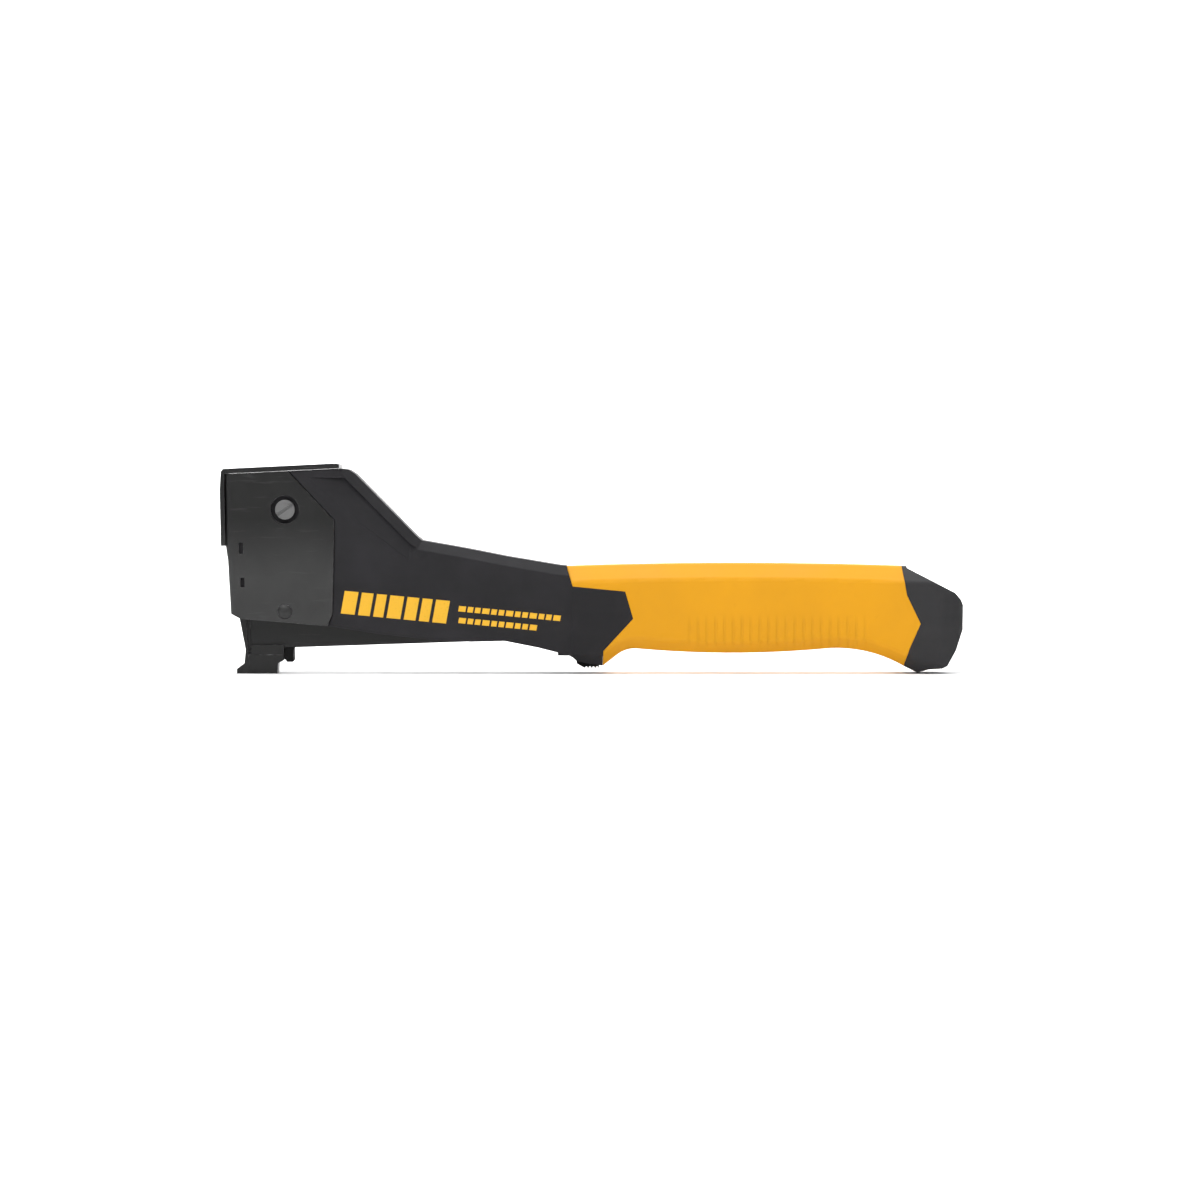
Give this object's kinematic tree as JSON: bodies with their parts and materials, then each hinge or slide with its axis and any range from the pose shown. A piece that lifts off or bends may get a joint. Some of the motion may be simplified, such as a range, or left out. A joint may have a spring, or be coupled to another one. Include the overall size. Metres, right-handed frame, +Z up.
{
  "type": "hammer tacker",
  "caption": "Hammer tacker with a charcoal composite body, steel capped head, yellow grip and a sprung staple magazine that swings up when the nose strikes.",
  "frame": {"origin": "middle of the nose foot's striking face", "axes": "+X from the nose towards the butt, +Z up from the work, Y across the tool"},
  "size_m": [0.3552, 0.0354, 0.1006],
  "materials": {
    "composite": "fine matt texture, dark charcoal",
    "grip": "matt, fine grain, warm yellow",
    "butt": "matt, charcoal",
    "black_screw": "black oxide",
    "black_steel": "satin black coating",
    "bright_steel": "turned",
    "bare_steel": "ground",
    "bumper_rubber": "smooth",
    "dark_rivet": "black",
    "bronze": "sintered",
    "spring_steel": "drawn wire",
    "magazine_steel": "black coating, satin",
    "nose_steel": "dark, worn at the foot",
    "rail_steel": "pressed",
    "pull_black": "matt black",
    "latch_black": "matt black"
  },
  "bodies": {
    "body": {"left_shell": "composite", "right_shell": "composite", "left_grip": "grip", "right_grip": "grip", "butt_cap": "butt", "butt_screw": "black_screw", "shell_screws": "black_screw", "head_cap": "black_steel", "strike_plate": "black_steel", "head_bolt": "bright_steel", "head_nut": "bright_steel", "driver_block": "bare_steel", "driver_blade": "bare_steel", "driver_pin": "bare_steel", "impact_bumper": "bumper_rubber", "stop_studs": "dark_rivet", "pivot_bushings": "bronze", "return_spring": "spring_steel"},
    "magazine": {"magazine_channel": "magazine_steel", "nose_block": "nose_steel", "nose_plate": "nose_steel", "nose_rivets": "dark_rivet", "nose_cheeks": "nose_steel", "trunnions": "bare_steel", "stop_bracket": "magazine_steel", "spring_seat": "bare_steel", "latch_pin": "bare_steel", "latch_spring": "spring_steel"},
    "rail": {"staple_rail": "rail_steel", "rail_front_plug": "rail_steel", "rail_end_block": "rail_steel", "guide_rod": "bare_steel", "follower_spring": "spring_steel", "pull_tab": "pull_black"},
    "follower": {"follower": "rail_steel"},
    "latch": {"latch_lever": "latch_black"}
  },
  "joints": [
    {"name": "magazine_swing", "type": "hinge", "parent": "body", "child": "magazine", "pos_m": [0.176, 0, 0.0245], "axis": [0, 1, 0], "range_deg": [0, 7.8], "stiffness_Nm_per_rad": 17.6, "springref_deg": -9.74, "deforming": ["return_spring"]},
    {"name": "rail_slide", "type": "slide", "parent": "magazine", "child": "rail", "axis": [0.9995, 0, 0.0328], "range_m": [0, 0.092]},
    {"name": "follower_slide", "type": "slide", "parent": "rail", "child": "follower", "axis": [0.9995, 0, 0.0328], "range_m": [0, 0.096], "stiffness_N_per_m": 120, "springref_m": -0.066, "deforming": ["follower_spring"]},
    {"name": "latch_press", "type": "hinge", "parent": "magazine", "child": "latch", "pos_m": [0.16, 0, 0.013], "axis": [0, -1, 0], "range_deg": [0, 9], "stiffness_Nm_per_rad": 0.02, "springref_deg": -22.92, "deforming": ["latch_spring"]}
  ]
}
